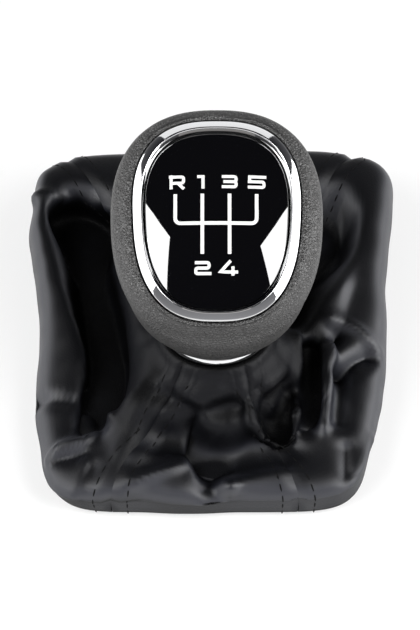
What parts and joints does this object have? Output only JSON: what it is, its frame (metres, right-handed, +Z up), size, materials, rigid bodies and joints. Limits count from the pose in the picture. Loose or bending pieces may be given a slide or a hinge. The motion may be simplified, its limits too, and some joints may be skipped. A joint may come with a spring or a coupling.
{
  "type": "gear shift knob with gaiter",
  "caption": "Gear shift knob with a domed black pattern cap in a bright bezel, a grained grip and a bright collar, on a sewn leather gaiter gathered over a moulded frame.",
  "frame": {"origin": "middle of the underside of the gaiter frame, on the plane it rests on", "axes": "+Z up, -Y towards the driver, +X to the driver's right; the lever axis leans from +Z towards +Y"},
  "size_m": [0.1137, 0.1239, 0.0927],
  "materials": {
    "grip_skin": "fine pebble grain, satin",
    "core_plastic": "moulded, lightly textured",
    "bright_trim": "polished chrome plating",
    "black_gloss": "piano black, mirror gloss, white print",
    "clamp_steel": "bright zinc plated",
    "tie_nylon": "satin nylon",
    "leather": "soft black leather, semi gloss"
  },
  "bodies": {
    "base": {"boot_frame": "core_plastic", "hem_retainer": "core_plastic"},
    "gaiter": {"gaiter_front": "leather", "gaiter_right": "leather", "gaiter_rear": "leather", "gaiter_left": "leather"},
    "knob": {"grip_shell": "grip_skin", "grip_core": "core_plastic", "cap_bezel": "bright_trim", "pattern_cap": "black_gloss", "cap_carrier": "core_plastic", "collar_ring": "bright_trim", "lever_sleeve": "core_plastic", "lever_clamp": "clamp_steel", "neck_ring": "core_plastic", "neck_tie": "tie_nylon"}
  },
  "joints": [
    {"name": "select", "type": "hinge", "parent": "base", "child": "gaiter", "pos_m": [0.002, -0.032, -0.06], "axis": [0, 1, 0], "range_deg": [-6, 6], "deforming": ["gaiter_front", "gaiter_right", "gaiter_rear", "gaiter_left"]},
    {"name": "shift", "type": "hinge", "parent": "gaiter", "child": "knob", "pos_m": [0.002, -0.032, -0.06], "axis": [1, 0, 0], "range_deg": [-8, 8], "deforming": ["gaiter_front", "gaiter_right", "gaiter_rear", "gaiter_left"]}
  ]
}
